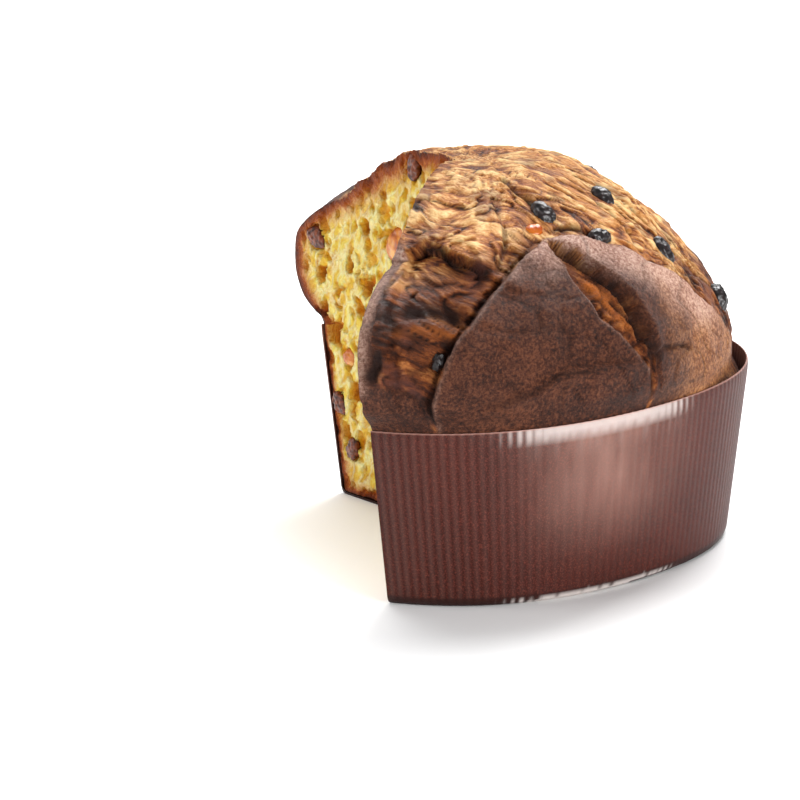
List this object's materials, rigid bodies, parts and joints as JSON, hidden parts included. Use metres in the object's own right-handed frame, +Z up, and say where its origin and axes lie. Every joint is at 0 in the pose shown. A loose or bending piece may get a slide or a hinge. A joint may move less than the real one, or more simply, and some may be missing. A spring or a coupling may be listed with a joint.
{
  "type": "panettone",
  "caption": "Low panettone in its paper baking case, with a wedge cut out of it: torn brown crust above, open yellow crumb with raisins and candied peel on the cut faces.",
  "frame": {"origin": "on the underside of the paper case, below the middle of the bounding box of what is left of the loaf", "axes": "+Z up, out of the crown; -Y towards the loaf's best side, which the picture shows; the missing wedge opens towards -X"},
  "size_m": [0.1806, 0.2314, 0.1545],
  "materials": {
    "crumb_and_crust": "baked bread: matt brown crust, open yellow crumb",
    "baking_paper": "brown corrugated baking paper with a soft sheen",
    "raisin": "wrinkled dark raisin skin, glossy on the crust",
    "candied_peel": "translucent candied orange peel"
  },
  "bodies": {
    "root": {"paper_case": "baking_paper", "loaf": "crumb_and_crust", "crust_raisin_1": "raisin", "crust_raisin_2": "raisin", "crust_raisin_3": "raisin", "crust_raisin_4": "raisin", "crust_raisin_5": "raisin", "crust_raisin_6": "raisin", "crust_raisin_7": "raisin", "crust_raisin_8": "raisin", "crust_raisin_9": "raisin", "crust_peel_1": "candied_peel", "far_peel_1": "candied_peel", "far_raisin_2": "raisin", "far_raisin_3": "raisin", "far_peel_4": "candied_peel", "far_raisin_5": "raisin", "far_raisin_6": "raisin", "far_raisin_7": "raisin", "far_raisin_8": "raisin", "far_peel_9": "candied_peel", "far_peel_10": "candied_peel", "near_raisin_1": "raisin", "near_peel_2": "candied_peel", "near_raisin_3": "raisin", "near_raisin_4": "raisin", "near_peel_5": "candied_peel", "near_raisin_6": "raisin", "near_raisin_7": "raisin"}
  },
  "joints": []
}
